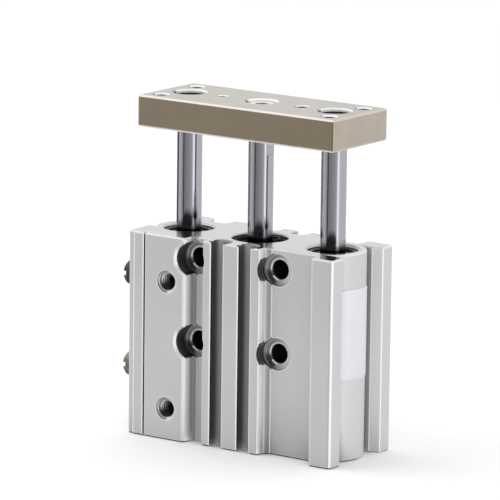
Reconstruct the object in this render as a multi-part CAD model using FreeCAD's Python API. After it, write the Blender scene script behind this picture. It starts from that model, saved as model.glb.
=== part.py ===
"""Guided pneumatic cylinder, bore 12, stroke 20: a drilled aluminium extrusion holds the
cylinder and two ball-bushed guide rods, and a tool plate ties the three rods together.

Millimetres. Z points up along the rods, X runs along the wide face, and -Y is the front
face with the air ports. The origin is the centre of the housing's base. The rods are
modelled fully out, so the slide joint runs from 0 down to minus the stroke.
"""

import FreeCAD, Part
import math
import os

V = FreeCAD.Vector
UP, BACK, RIGHT = V(0, 0, 1), V(0, 1, 0), V(1, 0, 0)

# ---- driving sizes -------------------------------------------------------------------
STROKE = 20.0

# housing
BODY_W, BODY_D, BODY_H = 58.8, 25.0, 49.2
EDGE_BREAK = 0.3  # machined chamfer round both ends of the extrusion

# cylinder
BORE_D = 12.0
ROD_D = 6.0
COVER_D = 13.4  # seat of the rod cover and of the head cover
ROD_COVER_T, HEAD_COVER_T = 7.9, 4.0
ROD_COVER_SINK, HEAD_COVER_SINK = 1.6, 1.5  # cover's face below the housing's end face
RING_GROOVE_D, RING_T = 14.2, 0.65

# guides
GUIDE_X = 20.75
GUIDE_ROD_D = 6.0
BUSHING_D, BUSHING_WALL, BUSHING_L = 12.0, 0.95, 13.2
BUSHING_SINK = 0.8  # top bushing's rim below the housing's top
SPACER_L = 1.2
GUIDE_CLEAR_D = 7.2  # hole under the bushings, for the rods' lower ends
GUIDE_MOUTH = 0.55  # chamfer at the top of the guide bore
BALL_D = 2.0
BALL_TRACKS = 4
BALL_TRACK_TURN = 35.0  # degrees from +X to the first track
ROD_END_LIFT = 1.0  # guide rod's end above the base with the rods fully in

# tool plate
PLATE_W, PLATE_D, PLATE_T = 56.0, 22.0, 7.6
PLATE_GAP = 4.8  # plate above the housing with the rods fully in
PLATE_BREAK, PLATE_CORNER = 0.4, 0.5  # chamfer round both faces, and radius of the corners
TAP_R, TAP_EDGE = 1.65, 4.0  # M4 holes in the corners, and their distance from the edges
TAP_W, TAP_D = PLATE_W - 2 * TAP_EDGE, PLATE_D - 2 * TAP_EDGE
PIN_X, PIN_FIT_R, PIN_SLACK_R, PIN_DEPTH = 11.4, 1.25, 1.6, 5.0
GUIDE_BOLT_SEAT_R, ROD_BOLT_SEAT_R = 3.85, 3.7
GUIDE_BOLT_SEAT, ROD_BOLT_SEAT = 5.0, 4.6
BOLT_HEAD_R, BOLT_HEAD_H, BOLT_R = 3.5, 4.0, 1.95
BOLT_HOLE_R, BOLT_GRIP = 2.2, 8.0  # bolt's reach into the rod
HEX_AF, HEX_DEPTH = 3.0, 2.2
FLAT_AF, FLAT_L, FLAT_TOP = 5.3, 4.2, 0.6  # spanner flats at the piston rod's outer end

# mounting holes through the housing, front to back
MOUNT_W, MOUNT_H, MOUNT_TOP = 23.0, 20.0, 5.0  # spacing, and upper row below the top
MOUNT_R, MOUNT_SEAT_R, MOUNT_SEAT = 2.15, 3.9, 4.5
BASE_TAP_W, BASE_TAP_D, BASE_TAP_DEPTH = 52.0, 19.5, 10.0
BASE_PIN_R, BASE_PIN_DEPTH = 1.5, 6.0

# air ports, tapped M5
PORT_R, PORT_MOUTH, PORT_DEPTH, PORT_X = 2.1, 0.65, 4.6, -18.0
PORT_TOP, PORT_BOTTOM = 11.0, 7.5  # from the top, and from the base
SIDE_PORT_SET = 4.5  # side ports behind the front face
SIDE_PORT_BOTTOM, SIDE_PORT_DEPTH = 16.0, 5.6
GALLERY_R = 0.9
PLUG_HEAD_R, PLUG_HEAD_T, PLUG_SLOT, PLUG_SLOT_DEPTH = 3.0, 2.3, 1.2, 1.1
PLUG_REACH = 4.0
GASKET_R, GASKET_T = 3.3, 0.5

# piston
PISTON_L = 10.2
BUMPER_T, BUMPER_R, BUMPER_INNER_R = 1.6, 5.1, 3.9
STOP_GAP = 0.3  # bumper to cover at either end of the stroke
SEAL_AT, SEAL_H = 1.2, 2.2  # grooves, from the piston's lower face
MAGNET_AT, MAGNET_H = 4.2, 2.8
WEAR_AT, WEAR_H = 7.8, 1.5
GROOVE_DEPTH = 1.5
SPIGOT_R = 2.0
NUT_AF, NUT_T, NUT_SEAT = 6.0, 2.2, 2.6

# label on the guide's round end
LABEL_Z0, LABEL_Z1, LABEL_T = 19.4, 40.8, 0.15
LABEL_FROM, LABEL_TO, LABEL_CORNER = -44.0, 36.0, 1.5

# clearances, radial
SLIDE_FIT = 0.03  # rods, seals and bearings that run on each other
SEAT_FIT = 0.02  # pieces pressed or dropped into a seat
LOOSE = 0.3  # pieces that must never touch

# ---- extrusion profile, measured on the cross-section ---------------------------------
HALF_W, FRONT, REAR = BODY_W / 2, -BODY_D / 2, BODY_D / 2
STRIP_W, STRIP_DROP = 1.7, 0.4  # shallow rebate on the front left corner
GROOVE_AT, GROOVE_W, GROOVE_DEEP = 4.6, 0.5, 1.2  # dividing groove beside the port pad
PAD_END = -12.8
FLOOR_DEEP, FLOOR_STEP = 3.8, 0.45  # recess around the mounting holes
CLUSTER_HALF, CLUSTER_DROP = 8.1, 0.75  # three ribs that frame the sensor slots
LEFT_FLOOR, RIGHT_FLOOR = -11.5, 9.9
WING_FRONT, WING_REAR = 6.3, 7.2  # width of the corner wings
REAR_PAD_HALF = 16.2
LIP_Y, LIP_RUN, POCKET_Y = 8.4, 2.3, 7.2  # hooked lips of the wings at both ends
BULGE_R = 8.0  # round end that wraps the guide bore
SIDE_PAD_Y = -4.2  # rear edge of the flat that takes the side ports
SLOT_X, SLOT_R, SLOT_SINK = 3.95, 2.4, 1.7  # round sensor slots, centre below the ribs

# ---- levels worked out from the sizes above -------------------------------------------
ROD_COVER_TOP = BODY_H - ROD_COVER_SINK
ROD_COVER_Z = ROD_COVER_TOP - ROD_COVER_T
HEAD_COVER_TOP = HEAD_COVER_SINK + HEAD_COVER_T
PISTON_TOP = ROD_COVER_Z - STOP_GAP - BUMPER_T
PISTON_Z = PISTON_TOP - PISTON_L
PLATE_Z = BODY_H + PLATE_GAP + STROKE
PLATE_TOP = PLATE_Z + PLATE_T
GUIDE_ROD_Z = ROD_END_LIFT + STROKE
UPPER_BUSH_Z = BODY_H - BUSHING_SINK - BUSHING_L
LOWER_BUSH_Z = UPPER_BUSH_Z - SPACER_L - BUSHING_L
PORT_LEVELS = (BODY_H - PORT_TOP, PORT_BOTTOM)
SIDE_PORT_LEVELS = (BODY_H - PORT_TOP, SIDE_PORT_BOTTOM)
SIDE_PORT_Y = FRONT + SIDE_PORT_SET
MOUNT_LEVELS = (BODY_H - MOUNT_TOP, BODY_H - MOUNT_TOP - MOUNT_H)


# ---- helpers --------------------------------------------------------------------------
def rod(radius, length, x=0.0, y=0.0, z=0.0, axis=UP):
    return Part.makeCylinder(radius, length, V(x, y, z), axis)


def ring(outer, inner, length, x=0.0, z=0.0):
    return rod(outer, length, x, 0, z).cut(rod(inner, length, x, 0, z))


def turned(points, x=0.0, y=0.0, z=0.0, axis=UP):
    """Solid of revolution from (radius, height) points, set on an axis."""
    outline = [V(r, 0, h) for r, h in points]
    face = Part.Face(Part.makePolygon(outline + outline[:1]))
    solid = face.revolve(V(0, 0, 0), UP, 360)
    solid.Placement = FreeCAD.Placement(V(x, y, z), FreeCAD.Rotation(UP, axis))
    return solid


def counterbore(hole_r, seat_r, seat_depth, depth, x, y, z, axis, break_by=0.3):
    """Cutter for a stepped hole whose mouth is at (x, y, z) and which runs along axis."""
    points = [(0, -1), (seat_r + break_by + 1, -1), (seat_r, break_by), (seat_r, seat_depth)]
    points += [(hole_r + 0.4, seat_depth), (hole_r, seat_depth + 0.4), (hole_r, depth), (0, depth)]
    return turned(points, x, y, z, axis)


def drilled(hole_r, mouth, depth, x, y, z, axis):
    """Cutter for a flat-bottomed blind hole with a chamfered mouth."""
    points = [(0, -1), (hole_r + mouth + 1, -1), (hole_r, mouth), (hole_r, depth), (0, depth)]
    return turned(points, x, y, z, axis)


def hexagon(across_flats, height, x, y, z):
    radius = across_flats / math.sqrt(3)
    corners = [V(x + radius * math.cos(math.radians(a)), y + radius * math.sin(math.radians(a)), z)
               for a in range(0, 361, 60)]
    return Part.Face(Part.makePolygon(corners)).extrude(UP * height)


def profile_face(corners):
    """Face inside an outline of (x, y) or (x, y, fillet radius) corners, in order."""
    edges, count, ends = [], len(corners), []
    for i, corner in enumerate(corners):
        here = V(corner[0], corner[1], 0)
        radius = corner[2] if len(corner) > 2 else 0.0
        before = (V(*corners[i - 1][:2], 0) - here).normalize()
        after = (V(*corners[(i + 1) % count][:2], 0) - here).normalize()
        if radius == 0.0:
            ends.append((here, here))
            continue
        half = before.getAngle(after) / 2
        run = radius / math.tan(half)
        middle = here + (before + after).normalize() * (radius / math.sin(half) - radius)
        start, end = here + before * run, here + after * run
        edges.append(Part.Arc(start, middle, end).toShape())
        ends.append((start, end))
    for i in range(count):
        start, end = ends[i][1], ends[(i + 1) % count][0]
        if start.distanceToPoint(end) > 1e-6:
            edges.append(Part.LineSegment(start, end).toShape())
    return Part.Face(Part.Wire(Part.__sortEdges__(edges)))


# ---- housing --------------------------------------------------------------------------
def housing_outline():
    """Cross-section corners, anticlockwise from the front left: the port pad, the ribbed
    slot cluster and the wings in front, hooked wings round a bulge at each end, and a
    broad pad between two channels at the back."""
    groove = -HALF_W + GROOVE_AT
    floor, shelf = FRONT + FLOOR_DEEP, FRONT + FLOOR_DEEP - FLOOR_STEP
    cluster = FRONT + CLUSTER_DROP
    front_wing, rear_wing = HALF_W - WING_FRONT, HALF_W - WING_REAR
    channel = REAR - FLOOR_DEEP
    inside = GUIDE_X + 1.5  # hidden within the bulge that is joined on later
    front = [
        (-HALF_W, FRONT + STRIP_DROP, 0.5), (-HALF_W + STRIP_W, FRONT + STRIP_DROP),
        (-HALF_W + STRIP_W, FRONT), (groove, FRONT), (groove, FRONT + GROOVE_DEEP),
        (groove + GROOVE_W, FRONT + GROOVE_DEEP), (groove + GROOVE_W, FRONT),
        (PAD_END, FRONT, 1.1), (PAD_END + 0.3, shelf, 0.75), (LEFT_FLOOR, shelf),
        (LEFT_FLOOR, floor), (-CLUSTER_HALF, floor), (-CLUSTER_HALF, cluster, 0.35),
        (CLUSTER_HALF, cluster, 0.35), (CLUSTER_HALF + 0.5, shelf, 1.1), (RIGHT_FLOOR, shelf),
        (RIGHT_FLOOR, floor), (front_wing, floor, 0.4), (front_wing, FRONT, 0.9),
        (HALF_W, FRONT, 0.9),
    ]
    right_end = [
        (HALF_W, -LIP_Y, 0.5), (HALF_W - LIP_RUN, -POCKET_Y, 0.4), (inside, -POCKET_Y),
        (inside, POCKET_Y), (HALF_W - LIP_RUN, POCKET_Y, 0.4), (HALF_W, LIP_Y, 0.5),
    ]
    rear = [
        (HALF_W, REAR, 0.9), (rear_wing, REAR, 0.35), (rear_wing, channel, 0.5),
        (REAR_PAD_HALF, channel, 0.5), (REAR_PAD_HALF, REAR, 0.4), (-REAR_PAD_HALF, REAR, 0.4),
        (-REAR_PAD_HALF, channel, 0.5), (-rear_wing, channel, 0.5), (-rear_wing, REAR, 0.35),
        (-HALF_W, REAR, 0.9),
    ]
    left_end = [
        (-HALF_W, LIP_Y, 0.5), (-HALF_W + LIP_RUN, POCKET_Y, 0.4), (-inside, POCKET_Y),
        (-inside, SIDE_PAD_Y), (-HALF_W, SIDE_PAD_Y, 0.5),
    ]
    return front + right_end + rear + left_end


def extrusion():
    """The sawn length of extrusion, with both ends' edges broken."""
    body = profile_face(housing_outline()).extrude(UP * BODY_H)
    body = body.fuse([rod(BULGE_R, BODY_H, x) for x in (-GUIDE_X, GUIDE_X)])
    slots = [rod(SLOT_R, BODY_H, x, y) for x in (-SLOT_X, SLOT_X)
             for y in (FRONT + CLUSTER_DROP + SLOT_SINK, REAR - SLOT_SINK)]
    body = body.cut(slots).removeSplitter().Solids[0]
    ends = [e for e in body.Edges if e.BoundBox.ZLength < 1e-3]
    return body.makeChamfer(EDGE_BREAK, ends).Solids[0]


def cylinder_bore():
    """Cutter for the bore, the two cover seats and their snap-ring grooves."""
    seat, groove, bore = COVER_D / 2, RING_GROOVE_D / 2, BORE_D / 2
    lower_ring = HEAD_COVER_SINK - RING_T
    mouth = 0.3
    points = [
        (0, -1), (seat + mouth + 1, -1), (seat, mouth), (seat, lower_ring), (groove, lower_ring),
        (groove, HEAD_COVER_SINK), (seat, HEAD_COVER_SINK), (seat, HEAD_COVER_TOP),
        (bore, HEAD_COVER_TOP), (bore, ROD_COVER_Z), (seat, ROD_COVER_Z), (seat, ROD_COVER_TOP),
        (groove, ROD_COVER_TOP), (groove, ROD_COVER_TOP + RING_T), (seat, ROD_COVER_TOP + RING_T),
        (seat, BODY_H - mouth), (seat + mouth + 1, BODY_H + 1), (0, BODY_H + 1),
    ]
    return turned(points)


def guide_bore(x):
    """Cutter for one guide: the bushings' bore from the top and the rod's hole below it."""
    bush, clear = BUSHING_D / 2, GUIDE_CLEAR_D / 2
    points = [
        (0, -1), (clear + 1.3, -1), (clear, 0.3), (clear, LOWER_BUSH_Z), (bush, LOWER_BUSH_Z),
        (bush, BODY_H - GUIDE_MOUTH), (bush + GUIDE_MOUTH + 1, BODY_H + 1), (0, BODY_H + 1),
    ]
    return turned(points, x)


def air_ways():
    """Front and side ports, and the galleries that lead from them to the bore."""
    cuts = []
    port_end = FRONT + PORT_DEPTH
    for level in PORT_LEVELS:
        cuts.append(drilled(PORT_R, PORT_MOUTH, PORT_DEPTH, PORT_X, FRONT, level, BACK))
        start, stop = V(PORT_X, port_end - 0.5, level), V(0, 0, level)
        cuts.append(Part.makeCylinder(GALLERY_R, (stop - start).Length - BORE_D / 4, start, stop - start))
    for level in SIDE_PORT_LEVELS:
        cuts.append(drilled(PORT_R, 0.3, SIDE_PORT_DEPTH, -HALF_W, SIDE_PORT_Y, level, RIGHT))
        reach = HALF_W + PORT_X - SIDE_PORT_DEPTH + PORT_R
        cuts.append(rod(GALLERY_R, reach, -HALF_W + SIDE_PORT_DEPTH, SIDE_PORT_Y, level, RIGHT))
    rise = SIDE_PORT_BOTTOM - PORT_BOTTOM
    cuts.append(rod(GALLERY_R, rise, PORT_X, SIDE_PORT_Y, PORT_BOTTOM))
    return cuts


def make_housing():
    cuts = [cylinder_bore(), guide_bore(-GUIDE_X), guide_bore(GUIDE_X)] + air_ways()
    for x in (-MOUNT_W / 2, MOUNT_W / 2):
        for z in MOUNT_LEVELS:
            cuts.append(counterbore(MOUNT_R, MOUNT_SEAT_R, MOUNT_SEAT, BODY_D + 1, x, FRONT, z, BACK, 0.5))
            cuts.append(turned([(0, -1), (MOUNT_R + 1.5, -1), (MOUNT_R, 0.5), (0, 0.5)],
                               x, REAR, z, -BACK))
    for x in (-BASE_TAP_W / 2, BASE_TAP_W / 2):
        for y in (-BASE_TAP_D / 2, BASE_TAP_D / 2):
            cuts.append(drilled(TAP_R, 0.35, BASE_TAP_DEPTH, x, y, 0, UP))
    for x in (-PIN_X, PIN_X):
        cuts.append(drilled(BASE_PIN_R, 0.2, BASE_PIN_DEPTH, x, 0, 0, UP))
    return extrusion().cut(Part.makeCompound(cuts)).Solids[0]


# ---- cylinder's fixed pieces ----------------------------------------------------------
ROD_SEAL_H, ROD_SEAL_R, ROD_SEAL_UNDER = 2.4, 4.9, 1.0
RING_CORD = 1.5  # height of the O-ring grooves
RING_SQUEEZE = 0.6  # wall left between an O-ring groove's floor and the cover's skin


def cover_groove(z):
    """Cutter for an O-ring groove round a cover."""
    outer = COVER_D / 2 + 1
    return ring(outer, COVER_D / 2 - RING_CORD + RING_SQUEEZE, RING_CORD, 0, z)


ROD_RING_Z = ROD_COVER_Z + 1.4
HEAD_RING_Z = HEAD_COVER_SINK + 1.3


def make_rod_cover():
    outer, hole = COVER_D / 2 - SEAT_FIT, ROD_D / 2 + SLIDE_FIT
    cover = turned([(hole, ROD_COVER_Z), (outer - 0.3, ROD_COVER_Z), (outer, ROD_COVER_Z + 0.3),
                    (outer, ROD_COVER_TOP), (hole + 0.4, ROD_COVER_TOP), (hole, ROD_COVER_TOP - 0.4)])
    seal_z = ROD_COVER_TOP - ROD_SEAL_UNDER - ROD_SEAL_H
    cover = cover.cut(rod(ROD_SEAL_R, ROD_SEAL_H + ROD_SEAL_UNDER + 1, 0, 0, seal_z))
    return cover.cut(cover_groove(ROD_RING_Z))


def make_rod_seal():
    """Lip seal that wipes the piston rod, with a vee between its two lips."""
    z = ROD_COVER_TOP - ROD_SEAL_UNDER - ROD_SEAL_H
    inner, outer = ROD_D / 2 + SLIDE_FIT, ROD_SEAL_R - SEAT_FIT
    middle, top = (inner + outer) / 2, z + ROD_SEAL_H
    return turned([(inner, z), (outer, z), (outer, top), (middle, top - 1.0), (inner, top)])


def cover_o_ring(z):
    """Cord squeezed to the groove's rounded rectangle, as it lies when fitted."""
    inner = COVER_D / 2 - RING_CORD + RING_SQUEEZE + SEAT_FIT
    outer, low, high = COVER_D / 2 - SEAT_FIT, z + SEAT_FIT, z + RING_CORD - SEAT_FIT
    return turned([(inner, low + 0.2), (inner + 0.2, low), (outer - 0.2, low), (outer, low + 0.2),
                   (outer, high - 0.2), (outer - 0.2, high), (inner + 0.2, high), (inner, high - 0.2)])


def snap_ring(z):
    """Internal snap ring: an open flat ring with an eye at each end."""
    outer, width, eye = RING_GROOVE_D / 2 - SEAT_FIT, 1.1, 0.95
    thick = RING_T - 2 * SEAT_FIT
    level = z + SEAT_FIT
    opened = ring(outer, outer - width, thick, 0, level)
    gap_angle = 16.0
    wedge = Part.makeCylinder(outer + 1, thick, V(0, 0, level), UP, 2 * gap_angle)
    wedge.rotate(V(0, 0, 0), UP, 90 - gap_angle)
    opened = opened.cut(wedge)
    for side in (-1, 1):
        angle = math.radians(90 + side * (gap_angle + 4))
        x, y = (outer - eye) * math.cos(angle), (outer - eye) * math.sin(angle)
        opened = opened.fuse(rod(eye, thick, x, y, level)).cut(rod(0.4, thick, x, y, level))
    return opened.removeSplitter().Solids[0]


def make_head_cover():
    outer = COVER_D / 2 - SEAT_FIT
    cover = turned([(0, HEAD_COVER_SINK + 0.8), (2.5, HEAD_COVER_SINK + 0.8), (3.0, HEAD_COVER_SINK),
                    (outer, HEAD_COVER_SINK), (outer, HEAD_COVER_TOP - 0.3),
                    (outer - 0.3, HEAD_COVER_TOP), (0, HEAD_COVER_TOP)])
    return cover.cut(cover_groove(HEAD_RING_Z))


# ---- guide bushings -------------------------------------------------------------------
CAGE_CLEAR, CAGE_END = 0.25, 0.6
BALL_ORBIT = GUIDE_ROD_D / 2 + SLIDE_FIT + BALL_D / 2


def track_angles():
    return [math.radians(BALL_TRACK_TURN + 360.0 * i / BALL_TRACKS) for i in range(BALL_TRACKS)]


def bushing_sleeve(x, z):
    outer, inner = BUSHING_D / 2 - SEAT_FIT, BUSHING_D / 2 - BUSHING_WALL
    bevel = 0.25
    return turned([(inner, z + bevel), (inner + bevel, z), (outer - bevel, z), (outer, z + bevel),
                   (outer, z + BUSHING_L - bevel), (outer - bevel, z + BUSHING_L),
                   (inner + bevel, z + BUSHING_L), (inner, z + BUSHING_L - bevel)], x)


def ball_cage(x, z):
    """Resin cage: a tube with one open slot for each track of balls."""
    outer, inner = BUSHING_D / 2 - BUSHING_WALL - SEAT_FIT, GUIDE_ROD_D / 2 + CAGE_CLEAR
    low, high = z + CAGE_END, z + BUSHING_L - CAGE_END
    cage = ring(outer, inner, high - low, x, low)
    slot_r = BALL_D / 2 + SEAT_FIT
    for angle in track_angles():
        out = V(math.cos(angle), math.sin(angle), 0)
        foot = V(x, 0, low + CAGE_END + slot_r)
        slot = Part.makeBox(outer + 1, 2 * slot_r, high - foot.z + 1, V(0, -slot_r, 0))
        slot.Placement = FreeCAD.Placement(foot, FreeCAD.Rotation(UP, math.degrees(angle)))
        cage = cage.cut(slot.fuse(Part.makeCylinder(slot_r, outer + 1, foot, out)))
    return cage.Solids[0]


def ball_ring(x, z, at_top):
    """The end ball of every track."""
    low = z + 2 * CAGE_END + BALL_D / 2 + SEAT_FIT
    high = z + BUSHING_L - CAGE_END - BALL_D / 2
    level = high if at_top else low
    return [Part.makeSphere(BALL_D / 2, V(x + BALL_ORBIT * math.cos(a), BALL_ORBIT * math.sin(a), level))
            for a in track_angles()]


def bushing_balls(x):
    return Part.makeCompound(ball_ring(x, UPPER_BUSH_Z, True) + ball_ring(x, LOWER_BUSH_Z, False))


def bushing_spacer(x):
    return ring(BUSHING_D / 2 - SEAT_FIT, BUSHING_D / 2 - BUSHING_WALL, SPACER_L, x,
                LOWER_BUSH_Z + BUSHING_L)


# ---- plugs, gaskets, label ------------------------------------------------------------
def side_plug(z):
    """Slotted cheese-head screw plug, lying along X in a side port."""
    seat = GASKET_T
    top = seat + PLUG_HEAD_T
    body = turned([(0, -PLUG_REACH), (PORT_R - 0.5, -PLUG_REACH), (PORT_R - SEAT_FIT, -PLUG_REACH + 0.5),
                   (PORT_R - SEAT_FIT, seat), (PLUG_HEAD_R, seat), (PLUG_HEAD_R, top - 0.6),
                   (PLUG_HEAD_R - 0.5, top), (0, top)])
    slot = Part.makeBox(PLUG_SLOT, 2 * PLUG_HEAD_R + 2, PLUG_SLOT_DEPTH + 1,
                        V(-PLUG_SLOT / 2, -PLUG_HEAD_R - 1, top - PLUG_SLOT_DEPTH))
    body = body.cut(slot)
    body.Placement = FreeCAD.Placement(V(-HALF_W, SIDE_PORT_Y, z), FreeCAD.Rotation(UP, -RIGHT))
    return body


def plug_gaskets():
    rings = []
    for z in SIDE_PORT_LEVELS:
        washer = rod(GASKET_R, GASKET_T, -HALF_W, SIDE_PORT_Y, z, -RIGHT)
        rings.append(washer.cut(rod(PORT_R + SEAT_FIT, GASKET_T, -HALF_W, SIDE_PORT_Y, z, -RIGHT)))
    return Part.makeCompound(rings)


def make_label():
    """Thin blank label wrapped on the right-hand round end, with rounded corners."""
    height = LABEL_Z1 - LABEL_Z0
    outer = Part.makeCylinder(BULGE_R + LABEL_T, height, V(GUIDE_X, 0, LABEL_Z0), UP, LABEL_TO - LABEL_FROM)
    outer.rotate(V(GUIDE_X, 0, 0), UP, LABEL_FROM)
    band = outer.cut(rod(BULGE_R, height, GUIDE_X, 0, LABEL_Z0))
    edges = [(BULGE_R + LABEL_T) * math.sin(math.radians(a)) for a in (LABEL_FROM, LABEL_TO)]
    window = profile_face([(edges[0], LABEL_Z0, LABEL_CORNER), (edges[1], LABEL_Z0, LABEL_CORNER),
                           (edges[1], LABEL_Z1, LABEL_CORNER), (edges[0], LABEL_Z1, LABEL_CORNER)])
    window.Placement = FreeCAD.Placement(V(GUIDE_X, 0, 0), FreeCAD.Rotation(BACK, UP, RIGHT, "XYZ"))
    return band.common(window.extrude(RIGHT * (BULGE_R + 2))).Solids[0]


# ---- moving pieces --------------------------------------------------------------------
def make_tool_plate():
    corners = [(-PLATE_W / 2, -PLATE_D / 2, PLATE_CORNER), (PLATE_W / 2, -PLATE_D / 2, PLATE_CORNER),
               (PLATE_W / 2, PLATE_D / 2, PLATE_CORNER), (-PLATE_W / 2, PLATE_D / 2, PLATE_CORNER)]
    face = profile_face(corners)
    face.translate(UP * PLATE_Z)
    plate = face.extrude(UP * PLATE_T)
    plate = plate.makeChamfer(PLATE_BREAK, [e for e in plate.Edges if e.BoundBox.ZLength < PLATE_T / 2])
    cuts = [counterbore(BOLT_HOLE_R, ROD_BOLT_SEAT_R, ROD_BOLT_SEAT, PLATE_T + 1, 0, 0, PLATE_TOP, -UP)]
    for x in (-GUIDE_X, GUIDE_X):
        cuts.append(counterbore(BOLT_HOLE_R, GUIDE_BOLT_SEAT_R, GUIDE_BOLT_SEAT, PLATE_T + 1,
                                x, 0, PLATE_TOP, -UP))
    for x in (-TAP_W / 2, TAP_W / 2):
        for y in (-TAP_D / 2, TAP_D / 2):
            for z, axis in ((PLATE_TOP, -UP), (PLATE_Z, UP)):
                cuts.append(drilled(TAP_R, 0.4, PLATE_T / 2, x, y, z, axis))
    cuts.append(drilled(PIN_FIT_R, 0.2, PIN_DEPTH, -PIN_X, 0, PLATE_TOP, -UP))
    cuts.append(drilled(PIN_SLACK_R, 0.2, PIN_DEPTH, PIN_X, 0, PLATE_TOP, -UP))
    return plate.cut(Part.makeCompound(cuts)).Solids[0]


def plate_bolt(x, seat):
    """Socket head cap screw under the plate's top, reaching into a rod."""
    head_z = PLATE_TOP - seat
    tip = PLATE_Z - BOLT_GRIP
    bolt = turned([(0, tip), (BOLT_R - 0.4, tip), (BOLT_R, tip + 0.4), (BOLT_R, head_z),
                   (BOLT_HEAD_R, head_z), (BOLT_HEAD_R, head_z + BOLT_HEAD_H - 0.4),
                   (BOLT_HEAD_R - 0.4, head_z + BOLT_HEAD_H), (0, head_z + BOLT_HEAD_H)], x)
    socket = hexagon(HEX_AF, HEX_DEPTH + 1, x, 0, head_z + BOLT_HEAD_H - HEX_DEPTH)
    return bolt.cut(socket)


def tapped_end(x):
    """Cutter for the bolt's hole in a rod's upper end."""
    return drilled(BOLT_R + SEAT_FIT, 0.3, BOLT_GRIP + 1, x, 0, PLATE_Z, -UP)


def guide_rod(x):
    shaft_r, bevel = GUIDE_ROD_D / 2, 0.7
    shaft = turned([(0, GUIDE_ROD_Z), (shaft_r - bevel, GUIDE_ROD_Z), (shaft_r, GUIDE_ROD_Z + bevel),
                    (shaft_r, PLATE_Z - 0.2), (shaft_r - 0.2, PLATE_Z), (0, PLATE_Z)], x)
    return shaft.cut(tapped_end(x))


def make_piston_rod():
    """Rod with spanner flats near the plate and a spigot through the piston."""
    nut_face = PISTON_Z + NUT_SEAT - NUT_T
    shaft_r = ROD_D / 2
    shaft = turned([(0, nut_face), (SPIGOT_R - 0.3, nut_face), (SPIGOT_R, nut_face + 0.3),
                    (SPIGOT_R, PISTON_TOP), (shaft_r, PISTON_TOP), (shaft_r, PLATE_Z - 0.2),
                    (shaft_r - 0.2, PLATE_Z), (0, PLATE_Z)])
    flats_z = PLATE_Z - FLAT_TOP - FLAT_L
    for side in (-1, 1):
        x = FLAT_AF / 2 if side > 0 else -FLAT_AF / 2 - ROD_D
        shaft = shaft.cut(Part.makeBox(ROD_D, ROD_D + 2, FLAT_L, V(x, -ROD_D / 2 - 1, flats_z)))
    return shaft.cut(tapped_end(0))


def make_piston():
    outer, hole = BORE_D / 2 - 0.08, SPIGOT_R + SEAT_FIT
    floor = outer - GROOVE_DEPTH
    points = [(hole, PISTON_Z + NUT_SEAT), (NUT_AF / math.sqrt(3) + 0.2, PISTON_Z + NUT_SEAT),
              (NUT_AF / math.sqrt(3) + 0.2, PISTON_Z), (outer, PISTON_Z)]
    for at, height in ((SEAL_AT, SEAL_H), (MAGNET_AT, MAGNET_H), (WEAR_AT, WEAR_H)):
        low, high = PISTON_Z + at, PISTON_Z + at + height
        points += [(outer, low), (floor, low), (floor, high), (outer, high)]
    return turned(points + [(outer, PISTON_TOP), (hole, PISTON_TOP)])


def piston_band(at, height, outer):
    """Ring that fills one of the piston's grooves out to the given radius."""
    inner = BORE_D / 2 - 0.08 - GROOVE_DEPTH + SEAT_FIT
    return ring(outer, inner, height - 2 * SEAT_FIT, 0, PISTON_Z + at + SEAT_FIT)


def make_piston_nut():
    nut = hexagon(NUT_AF, NUT_T, 0, 0, PISTON_Z + NUT_SEAT - NUT_T)
    return nut.cut(rod(SPIGOT_R + SEAT_FIT, PISTON_L, 0, 0, PISTON_Z - 1))


PARTS = {
    "housing": make_housing,
    "rod_cover": make_rod_cover,
    "rod_seal": make_rod_seal,
    "rod_cover_o_ring": lambda: cover_o_ring(ROD_RING_Z),
    "rod_cover_snap_ring": lambda: snap_ring(ROD_COVER_TOP),
    "head_cover": make_head_cover,
    "head_cover_o_ring": lambda: cover_o_ring(HEAD_RING_Z),
    "head_cover_snap_ring": lambda: snap_ring(HEAD_COVER_SINK - RING_T),
    "side_plug_upper": lambda: side_plug(SIDE_PORT_LEVELS[0]),
    "side_plug_lower": lambda: side_plug(SIDE_PORT_LEVELS[1]),
    "plug_gaskets": plug_gaskets,
    "name_label": make_label,
    "tool_plate": make_tool_plate,
    "piston_rod": make_piston_rod,
    "piston": make_piston,
    "piston_nut": make_piston_nut,
    "piston_seal": lambda: piston_band(SEAL_AT, SEAL_H, BORE_D / 2 - SLIDE_FIT),
    "piston_magnet": lambda: piston_band(MAGNET_AT, MAGNET_H, BORE_D / 2 - 0.3),
    "piston_wear_ring": lambda: piston_band(WEAR_AT, WEAR_H, BORE_D / 2 - SLIDE_FIT),
    "bumper_upper": lambda: ring(BUMPER_R, BUMPER_INNER_R, BUMPER_T, 0, PISTON_TOP),
    "bumper_lower": lambda: ring(BUMPER_R, BUMPER_INNER_R, BUMPER_T, 0, PISTON_Z - BUMPER_T),
    "piston_rod_bolt": lambda: plate_bolt(0, ROD_BOLT_SEAT),
    "guide_rod_bolts": lambda: Part.makeCompound(
        [plate_bolt(x, GUIDE_BOLT_SEAT) for x in (-GUIDE_X, GUIDE_X)]),
}
for side, x in (("left", -GUIDE_X), ("right", GUIDE_X)):
    PARTS["guide_rod_" + side] = lambda x=x: guide_rod(x)
    PARTS["bushing_balls_" + side] = lambda x=x: bushing_balls(x)
    PARTS["bushing_spacer_" + side] = lambda x=x: bushing_spacer(x)
    for place, z in (("upper", UPPER_BUSH_Z), ("lower", LOWER_BUSH_Z)):
        PARTS["bushing_sleeve_%s_%s" % (place, side)] = lambda x=x, z=z: bushing_sleeve(x, z)
        PARTS["ball_cage_%s_%s" % (place, side)] = lambda x=x, z=z: ball_cage(x, z)

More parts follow.
